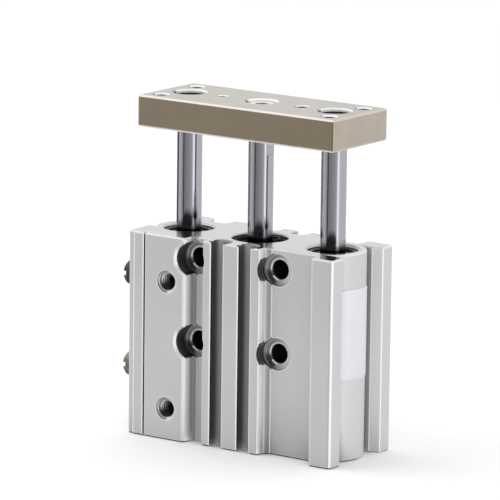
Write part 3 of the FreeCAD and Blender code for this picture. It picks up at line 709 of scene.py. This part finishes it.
class GuidedCylinderLooks(bpy.types.PropertyGroup):
    """Colours, gloss and marks of the finishes."""

    body_colour: tint("Body colour", "Anodised aluminium", (0.76, 0.76, 0.775))
    body_metallic: fraction("Body metallic", "Metal share of the anodised skin", 0.60)
    body_roughness: fraction("Body roughness", "Satin of the anodised skin", 0.42)
    # edge_radius also sets the width of the painted highlight on the housing's edges
    edge_radius: length("Edge radius", "Width of the bright line on edges", 0.3 * MM)
    # slot_reach sets how far the painted shade in slots and recesses reaches
    slot_reach: length("Slot reach", "Depth of the slots that stay dim", 14.0 * MM)
    port_x: length("Port X", "Air ports' place across the front", -18 * MM)
    port_level: length("Port level", "Midway between the ports", 22.85 * MM)
    port_spacing: length("Port spacing", "Between the ports", 30.7 * MM)
    port_radius: length("Port radius", "Drilled radius of an air port", 2.1 * MM)
    port_stripe: length("Port stripe", "Between the rings in a port's mouth", 0.42 * MM)
    mount_spacing_x: length("Mount spacing X", "Between side holes", 23 * MM)
    mount_spacing_z: length("Mount spacing Z", "Between hole rows", 20 * MM)
    mount_level: length("Mount level", "Middle of the hole rows", 34.2 * MM)
    # inside mount_radius the side holes are painted black as painted shade
    mount_radius: length("Mount radius", "Side hole's dark mouth", 2.35 * MM)
    seat_level: length("Seat level", "Bottom of the counterbores", -8.0 * MM)
    seat_radius: length("Seat radius", "Counterbore of the side holes", 3.9 * MM)
    seat_mark_pitch: length("Seat mark pitch", "Between turned marks in the counterbores", 0.9 * MM)
    chrome_colour: tint("Chrome colour", "Hard chrome of the rods", (0.50, 0.50, 0.54))
    chrome_roughness: fraction("Chrome roughness", "Gloss of the rods", 0.10)
    # the rods are painted darker just above where they leave the housing: painted shade and a
    # painted dark reflection
    foot_shade_level: length("Shading level", "Where the rods leave the housing", BODY_HIGH.z + 0.4 * MM)
    foot_shade_height: length("Shading height", "Fade of the darkened rods", 2.6 * MM)
    # the plate's sides, ends and top differ in tone partly for their finish and partly as painted
    # light and shade
    plate_colour: tint("Plate colour", "Plating on the plate's sides", (0.46, 0.375, 0.275))
    plate_end_colour: tint("Plate end colour", "Plating on the sawn ends", (0.60, 0.53, 0.45))
    plate_top_colour: tint("Plate top colour", "Plating on the ground faces", (0.45, 0.425, 0.39))
    plate_roughness: fraction("Plate roughness", "Satin of the plating", 0.34)
    label_colour: tint("Label colour", "Blank film", (0.73, 0.73, 0.77))


class GuidedCylinderThreads(bpy.types.PropertyGroup):
    """Sizes and places of the screw threads."""

    port_pitch: length("Port pitch", "Thread pitch of an air port", 0.8 * MM)
    port_run: length("Port thread", "Length of thread in a port", 3.6 * MM)
    port_start: length("Port start", "Port's mouth to its thread", 0.75 * MM)
    side_wall: length("Side radius", "Drilled radius of the threads in the side holes", 2.15 * MM)
    side_run: length("Side thread", "Length of thread in a side hole", 9 * MM)
    side_start: length("Side start", "Back of the housing to a side hole's thread", 3.2 * MM)
    ridge: length("Ridge", "How far a thread stands off its wall", 0.24 * MM)
    tap_wall: length("Tap radius", "Drilled radius of the small taps", 1.65 * MM)
    tap_pitch: length("Tap pitch", "Thread pitch of the small taps", 0.7 * MM)
    base_run: length("Base thread", "Length of thread in a base tap", 8 * MM)
    base_start: length("Base start", "Base to its threads", 0.6 * MM)
    plate_margin: length("Plate margin", "Bare ends of the plate's taps", 0.7 * MM)
    plate_tap_edge: length("Plate tap edge", "Taps' centres in from the plate's edges", 4 * MM)
    base_tap_x: length("Base tap X", "Spacing of the base taps", 52 * MM)
    base_tap_y: length("Base tap Y", "Spacing of the base taps", 19.5 * MM)
    segments: IntProperty(
        name="Segments", description="Faces round one turn", default=28, min=8, max=64
    )


class GuidedCylinderStage(bpy.types.PropertyGroup):
    """Camera, lights and floor."""

    azimuth: angle("Azimuth", "Camera's turn round the part", math.radians(35.5094))
    elevation: angle("Elevation", "Camera above the horizon", math.radians(11.4528))
    roll: angle("Roll", "Camera's roll", math.radians(0.7311))
    distance: length("Distance", "Camera to its target", 1.095694)
    target: position("Target", "Point looked at", (0.0, 0.0, 0.040))
    aside: length("Aside", "Camera's shift to its right", -0.0022574)
    above: length("Above", "Camera's shift upwards", 0.0060255)
    lens: FloatProperty(
        name="Lens", description="Focal length in millimetres", default=335.30, min=1
    )
    floor_size: length("Floor size", "Width of the floor", 6.0)
    sky: FloatProperty(
        name="Sky", description="Strength of the surrounding light", default=1.0, min=0
    )
    overhead: FloatProperty(
        name="Overhead", description="Brightness of the panel above", default=1.15, min=0
    )
    backdrop: FloatProperty(
        name="Backdrop",
        description="Brightness of what the camera itself sees",
        default=1.05,
        min=0,
    )
    key_power: FloatProperty(
        name="Key light", description="Power of the light above", default=2.5, unit="POWER"
    )
    key_size: length("Key size", "Width and height of the light above", 0.9)
    key_place: position("Key place", "Middle of the light above", (-0.62, -0.30, 0.60))
    fill_power: FloatProperty(
        name="Fill light",
        description="Power of the large light in front",
        default=5.0,
        unit="POWER",
    )
    fill_size: length("Fill size", "Width and height of the large light", 1.2)
    fill_place: position("Fill place", "Middle of the large light", (0.80, -0.95, 0.50))


# ---- operators ------------------------------------------------------------------------
def finish_nodes(material, *names):
    """Puts one material on the named solids."""
    for name in names:
        data = NODES[name].data
        data.materials.clear()
        data.materials.append(material)


class FinishHousing(bpy.types.Operator):
    """Gives the drilled extrusion its satin anodised skin"""

    bl_idname = "guided_cylinder.finish_housing"
    bl_label = "Housing"

    def execute(self, context):
        finish_nodes(HousingSkin(context.scene.guided_cylinder_looks).finished(), "housing")
        return {"FINISHED"}


class FinishCylinderEnds(bpy.types.Operator):
    """Finishes the two covers, their seals and their snap rings"""

    bl_idname = "guided_cylinder.finish_cylinder_ends"
    bl_label = "Cylinder ends"

    def execute(self, context):
        finish_nodes(turned_metal("rod_cover_alloy", (0.10, 0.098, 0.085), 0.42), "rod_cover")
        finish_nodes(turned_metal("head_cover_alloy", (0.55, 0.55, 0.57), 0.36), "head_cover")
        rubber = moulded("seal_rubber", (0.018, 0.018, 0.020), 0.55)
        finish_nodes(rubber, "rod_seal", "rod_cover_o_ring", "head_cover_o_ring")
        spring = turned_metal("spring_steel", (0.16, 0.155, 0.15), 0.36)
        finish_nodes(spring, "rod_cover_snap_ring", "head_cover_snap_ring")
        return {"FINISHED"}


class FinishBushings(bpy.types.Operator):
    """Finishes the ball bushings: ground sleeves, spacers, balls and resin cages"""

    bl_idname = "guided_cylinder.finish_bushings"
    bl_label = "Ball bushings"

    def execute(self, context):
        # sleeves and spacers are painted nearly black as painted shade in the guide bores; the
        # balls are painted bright so their glints stand out
        steel = turned_metal("bearing_steel", (0.09, 0.088, 0.085), 0.30, edge_light=0.4)
        ball = turned_metal("ball_steel", (0.90, 0.90, 0.90), 0.08, shade=0.2 * MM)
        resin = moulded("cage_resin", (0.020, 0.019, 0.017), 0.42)
        for side in ("left", "right"):
            finish_nodes(steel, f"bushing_spacer_{side}")
            finish_nodes(ball, f"bushing_balls_{side}")
            for level in ("upper", "lower"):
                finish_nodes(steel, f"bushing_sleeve_{level}_{side}")
                finish_nodes(resin, f"ball_cage_{level}_{side}")
        return {"FINISHED"}


class FinishPlugs(bpy.types.Operator):
    """Finishes the screw plugs in the side ports, and their gaskets"""

    bl_idname = "guided_cylinder.finish_plugs"
    bl_label = "Side plugs"

    def execute(self, context):
        black = turned_metal("black_plug", (0.11, 0.107, 0.10), 0.34, edge_light=0.9)
        finish_nodes(black, "side_plug_upper")
        finish_nodes(turned_metal("nickel_plug", (0.34, 0.30, 0.255), 0.34), "side_plug_lower")
        finish_nodes(moulded("gasket", (0.030, 0.028, 0.026), 0.6), "plug_gaskets")
        return {"FINISHED"}


class FinishLabel(bpy.types.Operator):
    """Finishes the blank label on the round end"""

    bl_idname = "guided_cylinder.finish_label"
    bl_label = "Label"

    def execute(self, context):
        finish_nodes(label_film(context.scene.guided_cylinder_looks), "name_label")
        return {"FINISHED"}


class FinishPlate(bpy.types.Operator):
    """Finishes the tool plate and the three socket screws that hold it"""

    bl_idname = "guided_cylinder.finish_plate"
    bl_label = "Tool plate and bolts"

    def execute(self, context):
        finish_nodes(plated_steel(context.scene.guided_cylinder_looks), "tool_plate")
        bolt = turned_metal("bolt_steel", (0.86, 0.85, 0.83), 0.26, metallic=0.4, edge_light=0.6)
        finish_nodes(bolt, "piston_rod_bolt", "piston_nut")
        black = turned_metal("black_bolt_steel", (0.035, 0.034, 0.033), 0.36, edge_light=0.25)
        finish_nodes(black, "guide_rod_bolts")
        return {"FINISHED"}


class FinishRods(bpy.types.Operator):
    """Gives the piston rod and the guide rods their hard chrome"""

    bl_idname = "guided_cylinder.finish_rods"
    bl_label = "Rods"

    def execute(self, context):
        chrome = hard_chrome(context.scene.guided_cylinder_looks)
        finish_nodes(chrome, "piston_rod", "guide_rod_left", "guide_rod_right")
        return {"FINISHED"}


class FinishPiston(bpy.types.Operator):
    """Finishes the piston inside the bore and everything on it"""

    bl_idname = "guided_cylinder.finish_piston"
    bl_label = "Piston"

    def execute(self, context):
        finish_nodes(turned_metal("piston_alloy", (0.62, 0.60, 0.56), 0.34), "piston")
        finish_nodes(moulded("magnet", (0.045, 0.042, 0.042), 0.5), "piston_magnet")
        finish_nodes(moulded("wear_resin", (0.10, 0.075, 0.05), 0.45), "piston_wear_ring")
        bumper = moulded("bumper_rubber", (0.030, 0.030, 0.032), 0.62)
        finish_nodes(bumper, "bumper_upper", "bumper_lower")
        finish_nodes(bpy.data.materials["seal_rubber"], "piston_seal")
        return {"FINISHED"}


def cut_thread(tree, name, body, mouths, values):
    """Grows one set of threads, crisp at their crests, and ties it to its body."""
    piece = grown(name, mouths, tree, values)
    piece.data.shade_smooth()
    piece.data.set_sharp_from_angle(angle=SHARP)
    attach(piece, body)


class CutThreads(bpy.types.Operator):
    """Cuts the screw threads of the air ports, side holes, base taps and plate taps"""

    bl_idname = "guided_cylinder.cut_threads"
    bl_label = "Threads"

    def execute(self, context):
        sizes = context.scene.guided_cylinder_threads
        looks = context.scene.guided_cylinder_looks
        tree = thread_tree()
        skin = turned_metal("cut_aluminium", (0.50, 0.50, 0.51), 0.34)
        plated = turned_metal("cut_plating", (0.30, 0.28, 0.25), 0.34, shade=4 * MM)

        def cut(material, turn, wall, pitch, start, length):
            return {
                "Wall radius": wall,
                "Pitch": pitch,
                "Ridge": sizes.ridge,
                "Length": length,
                "Start": start,
                "Segments": sizes.segments,
                "Turn": turn,
                "Finish": material,
            }

        wall, pitch = looks.port_radius, sizes.port_pitch
        metal = port_thread_metal(looks)
        values = cut(metal, INTO_FRONT, wall, pitch, sizes.port_start, sizes.port_run)
        half = looks.port_spacing / 2
        levels = (looks.port_level - half, looks.port_level + half)
        mouths = [(looks.port_x, BODY_LOW.y, level) for level in levels]
        cut_thread(tree, "port_threads", "housing", mouths, values)

        values = cut(skin, INTO_BACK, sizes.side_wall, pitch, sizes.side_start, sizes.side_run)
        half_x, half_z = looks.mount_spacing_x / 2, looks.mount_spacing_z / 2
        middle = looks.mount_level
        mouths = [(sx * half_x, BODY_HIGH.y, middle + sz * half_z) for sx, sz in CORNERS]
        cut_thread(tree, "side_hole_threads", "housing", mouths, values)

        wall, pitch = sizes.tap_wall, sizes.tap_pitch
        values = cut(skin, INTO_BASE, wall, pitch, sizes.base_start, sizes.base_run)
        half_x, half_y = sizes.base_tap_x / 2, sizes.base_tap_y / 2
        mouths = [(sx * half_x, sy * half_y, BODY_LOW.z) for sx, sy in CORNERS]
        cut_thread(tree, "base_tap_threads", "housing", mouths, values)

        run = PLATE_HIGH.z - PLATE_LOW.z - 2 * sizes.plate_margin
        values = cut(plated, INTO_PLATE, wall, pitch, sizes.plate_margin, run)
        half_x, half_y = PLATE_HIGH.x - sizes.plate_tap_edge, PLATE_HIGH.y - sizes.plate_tap_edge
        mouths = [(sx * half_x, sy * half_y, PLATE_HIGH.z) for sx, sy in CORNERS]
        cut_thread(tree, "plate_tap_threads", "slide", mouths, values)
        return {"FINISHED"}


class BuildStage(bpy.types.Operator):
    """Makes the pale floor, the soft lights, the surrounding light and the camera"""

    bl_idname = "guided_cylinder.build_stage"
    bl_label = "Stage"

    def execute(self, context):
        stage = context.scene.guided_cylinder_stage
        scene = context.scene
        scene.view_settings.view_transform = "Standard"
        self.floor(stage)
        self.surroundings(scene, stage)
        self.camera(scene, stage)
        aim = Vector(stage.target)
        self.light("key_light", stage.key_power, stage.key_size, stage.key_place, aim)
        self.light("fill_light", stage.fill_power, stage.fill_size, stage.fill_place, aim)
        return {"FINISHED"}

    def floor(self, stage):
        """Pale floor that the part's mirror-like faces don't see."""
        half = stage.floor_size / 2
        rim = [(-half, -half), (half, -half), (half, half), (-half, half)]
        mesh = bpy.data.meshes.new("floor")
        mesh.from_pydata([(x, y, FLOOR_Z) for x, y in rim], [], [(0, 1, 2, 3)])
        floor = bpy.data.objects.new("floor", mesh)
        bpy.context.scene.collection.objects.link(floor)
        f = Finish(bpy.data.materials.new("floor_paint"))
        paint = f.node("ShaderNodeBsdfDiffuse", inputs={"Color": FLOOR_WHITE})
        clear = f.node("ShaderNodeBsdfTransparent")
        mirrored = f.node("ShaderNodeLightPath", out="Is Glossy Ray")
        mixed = f.node("ShaderNodeMixShader", inputs={0: mirrored, 1: paint, 2: clear})
        f.node("ShaderNodeOutputMaterial", inputs={"Surface": mixed})
        mesh.materials.append(f.holder)

    def surroundings(self, scene, stage):
        """Studio round the part: a dark room in front, soft panels at the sides and overhead.

        The camera itself sees plain white.
        """
        world = bpy.data.worlds.new("studio")
        scene.world = world
        f = Finish(world)
        way = f.node("ShaderNodeTexCoord", out="Generated")
        toward = (math.sin(stage.azimuth), -math.cos(stage.azimuth), 0.0)
        sideways = (math.cos(stage.azimuth), math.sin(stage.azimuth), 0.0)
        near = f.dot(way, toward)
        aside = f.dot(way, sideways)
        z = f.parts(way)[2]
        turn = aside.work("ARCTAN2", aside, near) * (1 / TURN) + 0.5
        low = f.levels(turn, LOW_PANELS)
        high = f.levels(turn, HIGH_PANELS)
        rise = z.ease(-0.03, 0.06)
        overhead = z.ease(0.35, 0.8) * near.ease(0.05, 0.45, 1.0, 0.10)
        glow = low * (1.0 - rise) + high * rise
        glow = glow * (1.0 - overhead) + overhead * stage.overhead
        seen = f.node("ShaderNodeLightPath", out="Is Camera Ray")
        strength = glow * stage.sky * (1.0 - seen) + seen * stage.backdrop
        inputs = {"Color": (1.0, 1.0, 1.0, 1.0), "Strength": strength}
        back = f.node("ShaderNodeBackground", inputs=inputs)
        f.node("ShaderNodeOutputWorld", inputs={"Surface": back})

    def camera(self, scene, stage):
        """Camera on its sphere round the target, rolled and then shifted in its own plane."""
        azimuth, elevation, roll = stage.azimuth, stage.elevation, stage.roll
        flat = Vector((math.sin(azimuth), -math.cos(azimuth), 0.0))
        back = flat * math.cos(elevation) + Vector((0.0, 0.0, math.sin(elevation)))
        level = Vector((math.cos(azimuth), math.sin(azimuth), 0.0))
        upright = back.cross(level)
        right = level * math.cos(roll) + upright * math.sin(roll)
        up = upright * math.cos(roll) - level * math.sin(roll)
        data = bpy.data.cameras.new("camera")
        data.lens = stage.lens
        data.sensor_width = SENSOR_WIDTH
        data.clip_start, data.clip_end = NEAREST, FARTHEST
        camera = bpy.data.objects.new("camera", data)
        scene.collection.objects.link(camera)
        spot = Vector(stage.target) + right * stage.aside + up * stage.above
        spot = spot + back * stage.distance
        turn = Matrix((right, up, back)).transposed().to_4x4()
        camera.matrix_world = Matrix.Translation(spot) @ turn
        scene.camera = camera

    def light(self, name, power, size, spot, aim):
        """Soft square light that faces the aim and shows in no reflection."""
        data = bpy.data.lights.new(name, "AREA")
        data.shape = "RECTANGLE"
        data.size, data.size_y = size, size
        data.energy = power
        lamp = bpy.data.objects.new(name, data)
        lamp.visible_glossy = False
        bpy.context.scene.collection.objects.link(lamp)
        lamp.location = spot
        lamp.rotation_mode = "QUATERNION"
        lamp.rotation_quaternion = (aim - Vector(spot)).to_track_quat("-Z", "Y")


OPERATORS = (
    FinishHousing,
    FinishCylinderEnds,
    FinishBushings,
    FinishPlugs,
    FinishLabel,
    FinishPlate,
    FinishRods,
    FinishPiston,
    CutThreads,
    BuildStage,
)


class GuidedCylinderPanel(bpy.types.Panel):
    """Lists the pieces of the guided cylinder"""

    bl_idname = "VIEW3D_PT_guided_cylinder"
    bl_label = "Guided cylinder"
    bl_space_type = "VIEW_3D"
    bl_region_type = "UI"
    bl_category = "Guided cylinder"

    def draw(self, context):
        for operator in OPERATORS:
            self.layout.operator(operator.bl_idname)


GROUPS = {
    "guided_cylinder_looks": GuidedCylinderLooks,
    "guided_cylinder_threads": GuidedCylinderThreads,
    "guided_cylinder_stage": GuidedCylinderStage,
}


def register():
    for group in GROUPS.values():
        bpy.utils.register_class(group)
    for name, group in GROUPS.items():
        setattr(bpy.types.Scene, name, PointerProperty(type=group))
    for operator in OPERATORS:
        bpy.utils.register_class(operator)
    bpy.utils.register_class(GuidedCylinderPanel)


def unregister():
    bpy.utils.unregister_class(GuidedCylinderPanel)
    for operator in reversed(OPERATORS):
        bpy.utils.unregister_class(operator)
    for name in GROUPS:
        delattr(bpy.types.Scene, name)
    for group in GROUPS.values():
        bpy.utils.unregister_class(group)


def main():
    """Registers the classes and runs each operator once."""
    register()
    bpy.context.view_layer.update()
    for operator in OPERATORS:
        group, name = operator.bl_idname.split(".")
        getattr(getattr(bpy.ops, group), name)()


if __name__ == "__main__":
    main()
